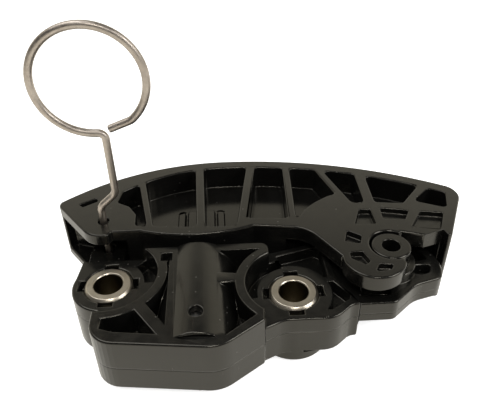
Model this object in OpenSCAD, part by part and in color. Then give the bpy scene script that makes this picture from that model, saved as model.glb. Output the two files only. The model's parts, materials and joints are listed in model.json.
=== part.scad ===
// Timing chain tensioner: a moulded body held by two bolts through steel bushes,
// a hydraulic plunger in the body, a ribbed arm on the body's pivot post that the
// plunger pushes against the chain, and a wire pin that locks the arm for fitting.
// The origin is the axis of the right-hand bolt on the mounting plane, Z = 0.
// +Z points away from the engine, +Y along the plunger towards the arm.

/* [Bolts and bushes] */
// Distance of the left bolt from the right bolt, along X
bolt_dx = 42.4; // [40:0.1:46]
// Height of the left bolt over the right bolt, along Y
bolt_dy = 5.3; // [3:0.1:7]
// Bore of a steel bush, for an M6 bolt
bush_bore_d = 6.6; // [6.2:0.1:7.4]
// Outside diameter of a steel bush
bush_od = 11.2; // [10:0.1:12]
// Chamfer on the ends of a bush
bush_chamfer = 0.6; // [0.2:0.1:0.9]
// Radius of the moulded ear around a bush
ear_r = 8.4; // [7.8:0.1:9]
// Part of a bush that stands proud of the ear on the engine side
bush_proud = 1; // [0.4:0.1:2]
// Part of a bush that stands proud of the ear at the front
bush_front_proud = 0.3; // [0:0.05:0.4]
// Radius kept free for the right bolt's head and socket
head_r_right = 10.8; // [10:0.1:11.5]
// Radius kept free for the left bolt's head and socket
head_r_left = 11.6; // [10.5:0.1:12.2]
// Width of the relief notches around a bush
notch_w = 3.2; // [2:0.1:4]
// Reach of a relief notch beyond the bush
notch_t = 1.2; // [0.5:0.1:1.4]
// Depth of a relief notch
notch_depth = 2.5; // [1.5:0.1:4]

/* [Body] */
// Rear face of the body, behind the middle plane of body, arm and plunger
body_back_h = 6.5; // [5.9:0.1:6.9]
// Front face of the block around the plunger, before the middle plane
block_front_h = 7.8; // [7.1:0.1:8.3]
// Front face of the ears, before the middle plane
ear_front_h = 4.1; // [3.8:0.1:4.6]
// Edge of the body that faces the arm
body_top_y = 13.7; // [13:0.1:14]
// Front edge of the block at the plunger's right, below the right bolt
block_front_y = 18; // [17:0.1:19]
// Fall of the front edge from its right end to its left end
block_front_fall = 3.1; // [2:0.1:4]
// Reach of the block beyond the left bolt
block_left_reach = 1.6; // [0:0.1:2.4]
// Thickness of the body's outer walls
wall = 2.4; // [1.8:0.1:2.8]
// Thickness of the web between the front and rear pockets
web_t = 2; // [1.4:0.1:3]
// Thickness of the ribs that brace the block
rib_t = 2.8; // [2:0.1:3.2]
// Reach of the ear towards the pivot
ear_reach = 14.3; // [13.6:0.1:14.8]

/* [Plunger] */
// Distance of the plunger's axis from the right bolt
axis_dx = 21.75; // [21:0.05:22.5]
// Outside radius of the moulded cylinder
cylinder_r = 9; // [8.7:0.1:9.6]
// Closed end of the moulded cylinder, below the right bolt
cylinder_end = 15; // [14.8:0.1:15.6]
// Diameter of the plunger
plunger_d = 11.9; // [11.4:0.1:12.2]
// Length of the plunger
plunger_len = 20.6; // [19.6:0.1:21]
// Bore of the hollow plunger
plunger_bore_d = 8.6; // [8.4:0.1:9]
// Length of the plunger's solid nose
nose_len = 2.8; // [2.2:0.1:3.6]
// Running clearance of the plunger in its sleeve, on the radius
plunger_fit = 0.05; // [0.02:0.01:0.09]
// Wall of the steel sleeve
sleeve_wall = 1; // [0.7:0.1:1.3]
// Floor of the steel sleeve
sleeve_floor = 1.5; // [1:0.1:1.8]
// Thickness of the check valve's seat
seat_t = 2; // [1.6:0.1:2.4]
// Diameter of the check ball
ball_d = 3.2; // [2.8:0.1:3.6]
// Wire of the plunger spring
spring_wire = 0.9; // [0.6:0.05:1]
// Turns of the plunger spring
spring_turns = 9; // [6:1:11]
// Diameter of the oil feed hole
feed_d = 2.4; // [1.6:0.1:2.6]
// Diameter of the hole in the cylinder's crest
bleed_d = 3; // [2:0.1:3.6]

/* [Pivot] */
// Pivot axis from the right bolt, along X
pivot_x = 23.5; // [22.8:0.1:24.2]
// Pivot axis from the right bolt, along Y
pivot_y = 7.6; // [7:0.1:8.2]
// Diameter of the pivot post
post_d = 9.2; // [8.6:0.1:9.8]
// Hole through the pivot post
post_hole_d = 4.2; // [3:0.1:5]
// Set-back of the post's front end from the arm's front side
post_set_back = 0.3; // [0:0.1:1]
// Gap between the post and the arm's eye, on the radius
eye_gap = 0.4; // [0.3:0.05:0.7]
// Outside radius of the round plate that carries the post
plate_r = 12.8; // [12:0.1:13.2]
// Front face of the plate, before the middle plane
plate_front_h = 3.3; // [2.9:0.1:3.9]
// Rear face of the plate, behind the middle plane
plate_back_h = 2.5; // [2.1:0.1:3.1]
// Depth of the pockets around the post
plate_pocket_depth = 3; // [1:0.1:4]

/* [Arm] */
// Width of the arm across the chain
arm_w = 20.6; // [20:0.1:21]
// Gap between the arm's rear side and the mounting plane
arm_gap = 0.2; // [0.1:0.05:0.6]
// Highest point of the chain face, from the right bolt along X
crest_x = -15; // [-16:0.1:-14]
// Highest point of the chain face, from the right bolt along Y
crest_y = 47; // [46:0.1:48]
// Radius of the chain face, left of its highest point
chain_r_left = 62; // [60:0.5:64]
// Radius of the chain face, right of its highest point
chain_r_right = 112; // [105:0.5:120]
// Wall behind the chain face, at its highest point and right of it
chain_wall = 3.4; // [2.6:0.1:4]
// Radius of the bays' outer side, left of the chain face's highest point
bay_r_left = 41; // [39:0.5:44]
// Reach of the arm's left end beyond the lock pin
tip_reach = 13.3; // [12.4:0.1:14]
// Reach of the arm's right end beyond the pivot
tail_reach = 23.9; // [23:0.1:25]
// Front face of the arm's web, before the middle plane
arm_web_front_h = 3.8; // [3:0.1:4.6]
// Thickness of the arm's web
arm_web_t = 2.6; // [2:0.1:4]
// Rounding of the bays' corners
bay_round = 1; // [0.4:0.1:1.2]
// Height of the low pad and ribs on the web above the plunger
pad_h = 1.2; // [0.6:0.1:2]
// Inner wall of the arm
inner_wall = 2.6; // [2:0.1:3]
// Thickness of the arm's upright ribs
arm_rib_t = 2; // [1.4:0.1:2.6]
// Thickness of the arm's slanting ribs
brace_t = 2.5; // [1.8:0.1:3]
// Gap between the arm's belly and the body
belly_gap = 1; // [0.8:0.1:1.6]
// Radius of the belly that the plunger pushes on
belly_r = 39; // [36:0.5:44]
// Thickness of the front hook
front_hook_t = 4.2; // [3.4:0.1:4.5]
// Thickness of the rear hook
rear_hook_t = 3; // [2.4:0.1:3]
// Radius of the back of the hook
hook_r = 7.2; // [7:0.1:7.6]
// Depth of the shallow pockets around the eye
eye_pocket_depth = 1.5; // [1:0.1:3]
// Rounding of those pockets' corners
eye_pocket_round = 0.4; // [0.2:0.1:0.5]

/* [Lock pin] */
// Wire of the lock pin
wire_d = 1.8; // [1.5:0.1:2.2]
// Lock pin from the left bolt, along X
pin_dx = -2.4; // [-3:0.1:-2]
// Lock pin from the left bolt, along Y
pin_dy = 16.3; // [15.8:0.1:16.8]
// Length of the pin inside the body's lug
pin_engaged = 2.8; // [2:0.1:3]
// Radius of the pull ring, at the middle of the wire
ring_r = 12.2; // [10:0.1:14]
// Height of the pull ring's middle over the arm
ring_height = 36.8; // [34:0.1:40]
// Sideways step of the pin's shank
shank_step = 4.2; // [3:0.1:5]
// Hole for the pin in the arm
pin_hole_d = 2.8; // [2.6:0.1:3.2]
// Radius of the body's lug around the pin
lug_r = 4.5; // [4:0.1:4.8]
// Front face of the lug, before the middle plane
lug_front_h = 1.1; // [0.5:0.1:1.9]
// Thickness of the lug
lug_t = 3.2; // [3.1:0.1:3.6]
// Thickness of the arm's front plate over the lug
tip_plate_t = 3.2; // [2.6:0.1:3.6]
// Thickness of the arm's rear plate behind the lug
tip_floor_t = 2.3; // [1.6:0.1:3]
// Gap between the lug and the plate behind it
lug_gap = 1.1; // [0.8:0.1:1.6]

/* [Hidden] */

$fn = 96;
cut = 0.5;
press = 0.02;
lift = 0.3;
black = "#2b2a27";
steel = "#c9cbcc";
dark_steel = "#8d8f92";
wire_grey = "#b9b1a8";

left_bolt = [-bolt_dx, bolt_dy];
pivot = [pivot_x, pivot_y];
pin = left_bolt + [pin_dx, pin_dy];
axis_x = -axis_dx;

arm_back_z = arm_gap;
arm_top_z = arm_back_z + arm_w;
mid_z = (arm_back_z + arm_top_z) / 2;
body_back_z = mid_z - body_back_h;
block_top_z = mid_z + block_front_h;
plate_back_z = mid_z - plate_back_h;
plate_top_z = mid_z + plate_front_h;
post_top_z = arm_top_z - post_set_back;

bush_r = bush_od / 2;
ear_top_z = mid_z + ear_front_h;
ear_bottom_z = bush_proud;
bush_len = ear_top_z + bush_front_proud;
web_back_z = mid_z - web_t / 2;
web_top_z = mid_z + web_t / 2;

// Corners of the block, in the order front left, front right
front_right = [axis_x + 4.75, -block_front_y];
front_left = [-bolt_dx - block_left_reach, -block_front_y + block_front_fall];
front_left_round = 6;
front_right_round = 8;
block_right_x = -4.7;
block_slope = 36.5;
block_tip_round = 2;

// Places along the right ear's edge, and along the plate's edge below the hook
ear_front_y = -4.7;
plate_front_y = ear_front_y + 0.6;
ear_rim_left = [block_right_x, body_top_y];
ear_rim_top = [ear_reach - 6.1, 17];
ear_rim_right = [ear_reach - 4.1, 15.2];
plate_corner = [pivot.x - 0.9, plate_front_y];
plate_waist = pivot + [5.1, -6.5];
plate_lobe = pivot + [11.7, -4.7];
plate_lobe_side = [3.3, 9.1];

// Middle line of the slanting rib left of the plunger
brace_from = left_bolt + [6.4, -7.9];
brace_to = [axis_x - 6.65, -13.4];

sleeve_r = plunger_d / 2 + plunger_fit + sleeve_wall;
bore_r = sleeve_r + press;
sleeve_top_y = body_top_y - 0.2;
chamber_end_y = -cylinder_end + 0.8;
sleeve_end_y = chamber_end_y + 3.4;
feed_y = chamber_end_y + 1.9;
chamber_r = 4.4;
feed_wall = 1.1;
bleed_y = feed_y + 3.4;
seat_y = sleeve_end_y + sleeve_floor;
cage_y = seat_y + seat_t;
cage_flange_t = 0.6;
cage_flange_r = plunger_d / 2 - 0.35;
cage_wall = 0.5;
ball_r = ball_d / 2;
seat_hole_r = 0.7 * ball_r;
ball_y = cage_y + sqrt(pow(ball_r, 2) - pow(seat_hole_r, 2)) + 0.05;
cage_inner_r = ball_r + 0.45;
cage_top_y = ball_y + ball_r + 2.1;
spring_seat_y = cage_y + cage_flange_t;
plunger_end_y = spring_seat_y + lift;
plunger_top_y = plunger_end_y + plunger_len;
plunger_floor_y = plunger_top_y - nose_len;
vent_disc_t = 1.8;
spring_top_y = plunger_floor_y - vent_disc_t;
spring_r = plunger_bore_d / 2 - 0.4 - spring_wire / 2;

arm_web_top_z = mid_z + arm_web_front_h;
arm_web_back_z = arm_web_top_z - arm_web_t;
hook_under_z = arm_top_z - front_hook_t;
hook_over_z = arm_back_z + rear_hook_t;
eye_r = post_d / 2 + eye_gap;
slot_r = plate_r + 1.4;
chain_left = [crest_x, crest_y - chain_r_left];
chain_right = [crest_x, crest_y - chain_r_right];
belly_y = max(plunger_top_y + lift, body_top_y + belly_gap);
arm_low_y = belly_y + 2.5;
hook_back = pivot + [-4.8, -3.8];
post_base_z = hook_under_z - lift;
tip_lobe_r = 5.8;
boss_r = 7.5;
eye_side_y = pivot.y + slot_r + inner_wall;
eye_solid_r = slot_r + inner_wall + 6.7;
recess_r = lug_r + 1.3;
tip_wall = 2.2;
bay_corner_steps = 5;

wire_r = wire_d / 2;
wire_lap = 0.25;
wire_thinning = 0.03;
ring_z = arm_top_z + ring_height;
lug_top_z = mid_z + lug_front_h;
lug_back_z = lug_top_z - lug_t;
tip_back_z = lug_back_z - lug_gap - tip_floor_t;
pin_tip_z = lug_top_z - pin_engaged;
// The lug's hole leaves the pin room to the side the arm swings to
pin_way = 0.5;
pin_clear = 0.8;

// One corner of an outline, rounded off between the directions to its neighbours
function corner_arc(p, back, ahead, r, steps) =
  let (
    half = acos(back * ahead) / 2,
    middle = p + (back + ahead) / norm(back + ahead) * r / sin(half),
    first = p + back * r / tan(half) - middle,
    last = p + ahead * r / tan(half) - middle,
    start = atan2(first.y, first.x),
    turn = (atan2(last.y, last.x) - start + 540) % 360 - 180
  )
  [for (k = [0 : steps]) middle + r * [cos(start + turn * k / steps), sin(start + turn * k / steps)]];

// Outline through corners [x, y, radius], each rounded by its radius
function rounded(corners, steps = 8) = [
  for (i = [0 : len(corners) - 1])
    let (
      count = len(corners),
      before = corners[(i + count - 1) % count],
      after = corners[(i + 1) % count],
      p = [corners[i].x, corners[i].y],
      back = [before.x, before.y] - p,
      ahead = [after.x, after.y] - p
    )
    each corners[i].z > 0
      ? corner_arc(p, back / norm(back), ahead / norm(ahead), corners[i].z, steps)
      : [p]
];

function corner(p, r = 0) = [p.x, p.y, r];

module between(z0, z1) {
  translate([0, 0, z0]) linear_extrude(z1 - z0) children();
}

module disc(p, r) {
  translate(p) circle(r);
}

// Ring sector around the origin, from angle a0 to a1, less than half a turn wide
module sector(r0, r1, a0, a1) {
  reach = 2 * r1;
  middle = (a0 + a1) / 2;
  difference() {
    intersection() {
      circle(r1);
      polygon(concat([[0, 0]], [for (a = [a0, middle, a1]) reach * [cos(a), sin(a)]]));
    }
    circle(r0);
  }
}

// Straight bar of width t from p to q
module bar(p, q, t) {
  length = norm(q - p);
  translate(p) rotate(atan2(q.y - p.y, q.x - p.x)) translate([0, -t / 2]) square([length, t]);
}

// Round solid about the plunger's axis, from a profile [radius, y]
module about_axis(profile) {
  translate([axis_x, 0, mid_z]) rotate([-90, 0, 0]) rotate_extrude() polygon(profile);
}

module axis_cylinder(r, y0, y1) {
  translate([axis_x, y0, mid_z]) rotate([-90, 0, 0]) cylinder(r = r, h = y1 - y0);
}

// Coil spring about the plunger's axis, swept as a tube around a helix
module axis_coil(r, wire, y0, y1, turns, steps = 20, sides = 8) {
  rise = y1 - y0 - wire;
  count = turns * steps;
  points = [
    for (i = [0 : count], k = [0 : sides - 1])
      let (
        a = 360 * i / steps,
        b = 360 * k / sides,
        reach = r + wire / 2 * cos(b)
      )
      [reach * cos(a), y0 + wire / 2 + rise * i / count + wire / 2 * sin(b), reach * sin(a)]
  ];
  sleeve = [
    for (i = [0 : count - 1], k = [0 : sides - 1])
      let (next = (k + 1) % sides)
      [i * sides + k, i * sides + next, (i + 1) * sides + next, (i + 1) * sides + k]
  ];
  first = [for (k = [sides - 1 : -1 : 0]) k];
  last = [for (k = [0 : sides - 1]) count * sides + k];
  translate([axis_x, 0, mid_z]) polyhedron(points, concat(sleeve, [first, last]), convexity = 10);
}

module block_outline() {
  polygon(rounded([
    corner([left_bolt.x - block_left_reach, body_top_y]),
    corner(front_left, front_left_round),
    corner(front_right, front_right_round),
    corner([-7.4, -11.2], 0.5),
    corner([block_right_x - 2, 0]),
    corner([block_right_x, body_top_y - 4.5]),
    corner([block_right_x, body_top_y], block_tip_round)
  ]));
}

module block_face() {
  difference() {
    block_outline();
    circle(head_r_right);
    disc(left_bolt, head_r_left);
    translate(left_bolt - [head_r_left, 0]) square([head_r_left, head_r_left]);
  }
}

// Outline of the body behind the level of the ears
module ear_outline() {
  block_outline();
  circle(ear_r);
  disc(left_bolt, ear_r);
  polygon([
    left_bolt,
    [left_bolt.x - ear_r + 0.2, left_bolt.y],
    [pin.x - lug_r - 0.3, body_top_y],
    [pin.x + lug_r, body_top_y]
  ]);
  polygon(rounded([
    corner([block_right_x - 7.5, -12.9]),
    corner([-2.8, -ear_r + 0.1], 6),
    corner([8.2, -ear_r - 0.1], 6),
    corner([ear_reach - 1.7, ear_front_y], 3),
    corner([ear_reach + 0.4, ear_front_y + 0.1], 0.5),
    corner([ear_reach - 1.4, -1]),
    corner([ear_reach - 3.8, 4.9]),
    corner([ear_reach - 4.4, 9]),
    corner(ear_rim_right, 1.4),
    corner(ear_rim_top, 1.4),
    corner(ear_rim_left),
    corner([block_right_x - 2, 0])
  ]));
}

module plate_outline() {
  far = plate_lobe + plate_lobe_side;
  intersection() {
    union() {
      disc(pivot, plate_r);
      polygon([
        [ear_reach - 3, ear_front_y],
        plate_corner + [4, -4],
        pivot,
        ear_rim_right,
        [ear_reach - 5, 8]
      ]);
    }
    polygon(rounded([
      corner([0, plate_front_y]),
      corner(plate_corner, 2.5),
      corner(plate_waist, 8),
      corner(plate_lobe, 3),
      corner(far),
      corner([far.x, pivot.y + 2 * plate_r]),
      corner([0, pivot.y + 2 * plate_r])
    ]));
  }
}

module lug_outline() {
  disc(pin, lug_r);
  translate([pin.x - lug_r, body_top_y - wall]) square([2 * lug_r, pin.y - body_top_y + wall]);
}

// Pockets of the block to the right of the plunger, with one rib across
module right_pockets() {
  inset = wall / cos(block_slope);
  difference() {
    polygon([
      [axis_x, body_top_y - wall],
      [block_right_x, body_top_y - wall],
      [block_right_x, -9 + inset],
      [front_right.x + 1.6, -cylinder_end + 0.6],
      [axis_x, -cylinder_end + 1.6]
    ]);
    circle(head_r_right + wall);
    bar([axis_x, 2], [0, 2], rib_t);
  }
}

// Pockets of the block to the left of the plunger, with one slanting rib
module left_pockets() {
  difference() {
    polygon([
      front_left + [wall, 8],
      front_left + [wall, 3.6],
      front_left + [wall + 2.6, wall + 0.2],
      brace_to + [-1.6, -0.1],
      brace_to,
      [axis_x - 6.4, brace_to.y + 2.1],
      [axis_x - 6.4, body_top_y - 2 * wall]
    ]);
    disc(left_bolt, head_r_left + wall);
    bar(brace_from, brace_to, rib_t);
  }
  translate([axis_x - 8.4, body_top_y - wall - 2.6]) square(2.6);
}

// Pockets of the right ear, around its boss
module ear_pockets() {
  difference() {
    polygon([[-2.6, 12.3], [7, 15], [8.3, 13.8], [8.3, 4.6], [0, 4]]);
    circle(ear_r + 0.5);
  }
  difference() {
    polygon([[6, 3.2], [9.4, 2.8], [12.6, -1.7], [12, -3], [7.9, -5.8], [4, -5.4]]);
    circle(ear_r + 0.5);
  }
  sector(ear_r, head_r_right, 104, 188);
}

module left_ear_pocket() {
  translate(left_bolt) sector(ear_r, head_r_left, 2, 44);
}

// Pockets of the plate: around the post, in the lobe beside it, and along the front edge
module plate_pockets() {
  arc = 48;
  rib_angle = 14;
  front = plate_front_y + wall;
  translate(pivot) {
    for (i = [0 : 2]) {
      start = 12 + i * (arc + rib_angle);
      sector(post_d / 2 + 2, plate_r - wall, start, start + arc);
    }
  }
  polygon(rounded([
    corner(pivot + [4.9, 0.2], 0.4),
    corner(pivot + [plate_r - wall, 0], 0.6),
    corner(plate_lobe + [-wall, 2.2], 1.2),
    corner(plate_lobe + [-4.4, 1.6], 1.2),
    corner(plate_lobe + [-6.4, 2.3], 0.8)
  ]));
  polygon(rounded([
    corner([ear_reach + 1.2, front], 1),
    corner([plate_corner.x - 0.6, front], 1.2),
    corner([plate_corner.x, front + 3.2], 0.6),
    corner([ear_reach + 1.2, front + 3.2], 0.6)
  ]));
}

module bush_seat(p) {
  translate([p.x, p.y, -cut]) cylinder(r = bush_r + press, h = bush_len + 2 * cut);
  for (a = [0 : 90 : 270]) {
    translate([p.x, p.y, 0]) rotate(a) translate([0, -notch_w / 2, ear_top_z - notch_depth])
      cube([bush_r + notch_t, notch_w, notch_depth + cut]);
  }
}

module moulded_walls() {
  difference() {
    union() {
      between(body_back_z, ear_top_z) ear_outline();
      between(body_back_z, block_top_z) block_face();
      between(plate_back_z, plate_top_z) plate_outline();
    }
    between(web_top_z, block_top_z + cut) right_pockets();
    between(web_top_z, block_top_z + cut) left_pockets();
    between(web_top_z, ear_top_z + cut) ear_pockets();
    between(web_top_z, ear_top_z + cut) left_ear_pocket();
    between(plate_top_z - plate_pocket_depth, plate_top_z + cut) plate_pockets();
    between(body_back_z - cut, web_back_z) right_pockets();
    between(body_back_z - cut, web_back_z) left_pockets();
    between(body_back_z - cut, web_back_z) ear_pockets();
    between(body_back_z - cut, web_back_z) left_ear_pocket();
  }
}

// Moulded body: block, ears, cylinder, lug, and the plate with the pivot post
module housing() {
  color(black) difference() {
    union() {
      moulded_walls();
      between(ear_bottom_z, ear_top_z) circle(ear_r);
      between(ear_bottom_z, ear_top_z) disc(left_bolt, ear_r);
      between(lug_back_z, lug_top_z) lug_outline();
      axis_cylinder(cylinder_r, -cylinder_end, body_top_y);
      between(0, body_back_z + 1) disc([axis_x, feed_y], feed_d / 2 + feed_wall);
      between(arm_back_z + lift, post_top_z) disc(pivot, post_d / 2);
      between(hook_over_z + lift, post_base_z) disc(pivot, post_d / 2 + 1.6);
    }
    bush_seat([0, 0]);
    bush_seat(left_bolt);
    axis_cylinder(bore_r, sleeve_end_y, body_top_y + cut);
    axis_cylinder(chamber_r, chamber_end_y, sleeve_end_y + cut);
    between(-cut, mid_z) disc([axis_x, feed_y], feed_d / 2);
    translate([axis_x, bleed_y, mid_z]) cylinder(d = bleed_d, h = cylinder_r + cut);
    between(-cut, post_top_z + cut) disc(pivot, post_hole_d / 2);
    between(lug_back_z - cut, lug_top_z + cut) disc(pin + [0, pin_way], wire_r + pin_clear);
  }
}

module bush(p) {
  translate([p.x, p.y, 0]) rotate_extrude() polygon([
    [bush_bore_d / 2, 0],
    [bush_r - bush_chamfer, 0],
    [bush_r, bush_chamfer],
    [bush_r, bush_len - bush_chamfer],
    [bush_r - bush_chamfer, bush_len],
    [bush_bore_d / 2 + bush_chamfer / 2, bush_len],
    [bush_bore_d / 2, bush_len - bush_chamfer / 2]
  ]);
}

module bush_left() {
  color(steel) bush(left_bolt);
}

module bush_right() {
  color(steel) bush([0, 0]);
}

// Steel cup that lines the moulded cylinder
module cylinder_sleeve() {
  inner_r = sleeve_r - sleeve_wall;
  color(steel) about_axis([
    [seat_hole_r, sleeve_end_y],
    [sleeve_r, sleeve_end_y],
    [sleeve_r, sleeve_top_y],
    [inner_r, sleeve_top_y],
    [inner_r, seat_y],
    [seat_hole_r, seat_y]
  ]);
}

module valve_seat() {
  color(steel) about_axis([
    [seat_hole_r, seat_y],
    [sleeve_r - sleeve_wall - press, seat_y],
    [sleeve_r - sleeve_wall - press, cage_y],
    [seat_hole_r, cage_y]
  ]);
}

module check_ball() {
  color(steel) translate([axis_x, ball_y, mid_z]) sphere(ball_r);
}

// Light spring that holds the ball on its seat
module ball_spring() {
  coil_wire = 0.35;
  coil_r = ball_r - 0.5;
  foot_y = ball_y + sqrt(pow(ball_r, 2) - pow(coil_r - coil_wire / 2, 2)) + 0.05;
  color(dark_steel) axis_coil(coil_r, coil_wire, foot_y, cage_top_y - cage_wall, 3, 16, 6);
}

// Pressed cup that keeps the ball and carries the plunger spring
module ball_cage() {
  cup_r = cage_inner_r + cage_wall;
  vent_r = 0.6;
  color(dark_steel) about_axis([
    [cage_inner_r, cage_y],
    [cage_flange_r, cage_y],
    [cage_flange_r, spring_seat_y],
    [cup_r, spring_seat_y],
    [cup_r, cage_top_y],
    [vent_r, cage_top_y],
    [vent_r, cage_top_y - cage_wall],
    [cage_inner_r, cage_top_y - cage_wall]
  ]);
}

module plunger_spring() {
  color(dark_steel) axis_coil(spring_r, spring_wire, spring_seat_y, spring_top_y, spring_turns);
}

// Hollow steel plunger with a slightly crowned nose and a vent hole
module plunger() {
  vent_r = 0.6;
  r = plunger_d / 2;
  inner_r = plunger_bore_d / 2;
  edge = 0.5;
  color(steel) about_axis([
    [inner_r, plunger_end_y],
    [r, plunger_end_y],
    [r, plunger_top_y - edge],
    [r - edge, plunger_top_y],
    [vent_r, plunger_top_y],
    [vent_r, plunger_floor_y],
    [inner_r, plunger_floor_y]
  ]);
}

// Moulded disc at the end of the plunger's bore, which the spring pushes on
module vent_disc() {
  channel_r = 0.8;
  color("#d8d2c0") about_axis([
    [channel_r, spring_top_y],
    [plunger_bore_d / 2 - press, spring_top_y],
    [plunger_bore_d / 2 - press, plunger_floor_y],
    [channel_r, plunger_floor_y]
  ]);
}

// Everything inside the chain face, set in by a wall
module under_chain(set_in = 0) {
  span = 4 * chain_r_right;
  intersection() {
    disc(chain_left, chain_r_left - set_in);
    translate([crest_x - span, -span / 2]) square([span, span]);
  }
  intersection() {
    disc(chain_right, chain_r_right - set_in);
    translate([crest_x, -span / 2]) square([span, span]);
  }
}

// Outline of the arm seen from the front
module arm_outline() {
  tail = pivot + [tail_reach, 20.8];
  difference() {
    union() {
      intersection() {
        polygon(rounded([
          corner([crest_x, crest_y + 16.5]),
          corner(pin + [-tip_reach, 8.4], 2.2),
          corner(pin + [-2.7, -tip_lobe_r], tip_lobe_r),
          corner(pin + [1.6, -tip_lobe_r], 0.8),
          corner([pin.x + 2.4, arm_low_y], 0.8),
          corner([axis_x + 14, arm_low_y]),
          corner(pivot + [-18.7, 7.8], 8),
          corner(hook_back + [-hook_r, 0.6]),
          corner(pivot),
          corner(pivot + [3.5, 4.6]),
          corner(pivot + [8.7, 2.7], 3),
          corner(pivot + [15.2, 2.4], 1),
          corner(tail, 5)
        ]));
        under_chain();
      }
      disc(hook_back, hook_r);
      intersection() {
        disc([axis_x, belly_y + belly_r], belly_r);
        translate([axis_x - 18, belly_y - 1]) square([36, 6]);
      }
    }
    disc(pivot, eye_r);
    translate(pivot) rotate(-72) square([2 * hook_r, 2 * hook_r]);
  }
}

// Space between the arm's two hooks, where the body's plate and ear stand
module clevis_space() {
  disc(pivot, slot_r);
  polygon([[-1, 10], [0.5, 18.1], pivot + [-6, 10.5], pivot, pivot + [0, -2 * hook_r], [-1, -10]]);
  translate(pivot + [0, -2 * hook_r]) square([slot_r, 2 * hook_r]);
}

// The rear eye is only a saddle on the post's upper half: all below it is left away
module below_saddle() {
  translate(pivot + [-2 * slot_r, -4 * slot_r - 1]) square([3 * slot_r, 4 * slot_r]);
}

// Space at the arm's left end, where the body's lug stands
module lug_space() {
  intersection() {
    under_chain(tip_wall);
    union() {
      disc(pin, recess_r);
      polygon([
        pin + [recess_r, 0],
        pin + [-2.4, recess_r - 0.6],
        pin + [-tip_reach - 2, 10],
        pin + [-tip_reach - 2, -10],
        pin + [recess_r, -10]
      ]);
    }
  }
}

// The arm's left end is narrower at the rear
module tip_relief() {
  span = 2 * chain_r_left;
  translate([pin.x + boss_r - span, -span / 2]) square(span);
}

// Shallow slot at the arm's left end, along the chain face
module tip_slot() {
  corners = [[-7.4, 7.5], [-3.3, 9.9], [-2.6, 8.7], [-6.2, 6.4]];
  polygon(rounded([for (p = corners) corner(pin + p, eye_pocket_round)]));
}

// Y of the bays' outer side at x
function bay_side_y(x) =
  let (r = x < crest_x ? bay_r_left : chain_r_right - chain_wall)
  crest_y - chain_wall - r + sqrt(r * r - (x - crest_x) * (x - crest_x));

// Corners along the bays' outer side from x0 to x1, rounded at both ends
function bay_side(x0, x1) =
  let (steps = max(2, round((x1 - x0) / 2)))
  [
    for (i = [0 : steps])
      let (x = x0 + (x1 - x0) * i / steps)
      corner([x, bay_side_y(x)], i % steps == 0 ? bay_round : 0)
  ];

// Point at height y on the left (-1) or right (1) side of a rib
function beside(rib, y, side) =
  let (
    top_y = bay_side_y(rib.x),
    lean = (rib.y.x - rib.x) / (rib.y.y - top_y)
  )
  [rib.x + lean * (y - top_y) + side * rib.z / 2 * sqrt(1 + lean * lean), y];

// Where a side of a rib meets the bays' outer side, along X
function rib_end(rib, side) = beside(rib, bay_side_y(rib.x), side).x;

function bay_corners(points) = [for (p = points) corner(p, bay_round)];

// Corners of the eight bays between the arm's walls and ribs, from left to right.
// A rib is [x at the bays' outer side, foot, thickness].
function arm_bays() =
  let (
    rib1 = [-36.5, [-33.1, arm_low_y + 1.5], arm_rib_t - 0.4],
    rib2 = [axis_x + 0.6, [axis_x + 1.1, arm_low_y], arm_rib_t + 0.3],
    rib3 = [-7, [-10.4, arm_low_y + 3.2], arm_rib_t + 0.4],
    rib4 = [2.8, [1.9, arm_low_y + 2.4], arm_rib_t],
    rib5 = [11.6, [16.6, eye_side_y + 0.5], brace_t - 0.5],
    rib6 = [22.4, [22.3, eye_side_y], brace_t + 0.3],
    rib7 = [37.6, [32, eye_side_y - 0.6], brace_t - 0.7]
  )
  [
    concat(bay_side(pin.x + 3.4, rib_end(rib1, -1)), bay_corners([
      beside(rib1, arm_low_y + 1.6, -1),
      pin + [8, arm_low_y + 2 - pin.y],
      for (a = [16, 44, 72]) pin + (boss_r + 0.6) * [cos(a), sin(a)]
    ])),
    concat(bay_side(rib_end(rib1, 1), rib_end(rib2, -1)), bay_corners([
      beside(rib2, arm_low_y + 0.7, -1),
      beside(rib1, arm_low_y + 1.5, 1)
    ])),
    concat(bay_side(rib_end(rib2, 1), rib_end(rib3, -1)), bay_corners([
      beside(rib3, arm_low_y + 0.3, -1),
      beside(rib2, arm_low_y + 0.5, 1)
    ])),
    concat(bay_side(rib_end(rib3, 1), rib_end(rib4, -1)), bay_corners([
      beside(rib4, arm_low_y + 2.4, -1),
      beside(rib3, arm_low_y + 3.2, 1)
    ])),
    concat(
      bay_side(rib_end(rib4, 1), rib_end(rib5, -1)),
      bay_corners([beside(rib5, eye_side_y + 4.5, -1)]),
      [for (a = [120 : 7 : 141]) corner(pivot + eye_solid_r * [cos(a), sin(a)])],
      [corner(beside(rib4, arm_low_y + 1.4, 1), bay_round / 2)]
    ),
    concat(bay_side(rib_end(rib5, 1), rib_end(rib6, -1)), bay_corners([
      beside(rib6, eye_side_y + 0.3, -1),
      beside(rib5, eye_side_y + 0.5, 1)
    ])),
    concat(bay_side(rib_end(rib6, 1), rib_end(rib7, -1)), bay_corners([
      beside(rib7, eye_side_y - 0.8, -1),
      beside(rib6, eye_side_y + 0.1, 1)
    ])),
    concat(bay_side(rib_end(rib7, 1), pivot.x + tail_reach - 4.7), bay_corners([
      pivot + [tail_reach - 6.4, 13.1],
      beside(rib7, eye_side_y - 0.2, 1)
    ]))
  ];

module bays() {
  for (corners = arm_bays()) polygon(rounded(corners, bay_corner_steps));
}

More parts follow.
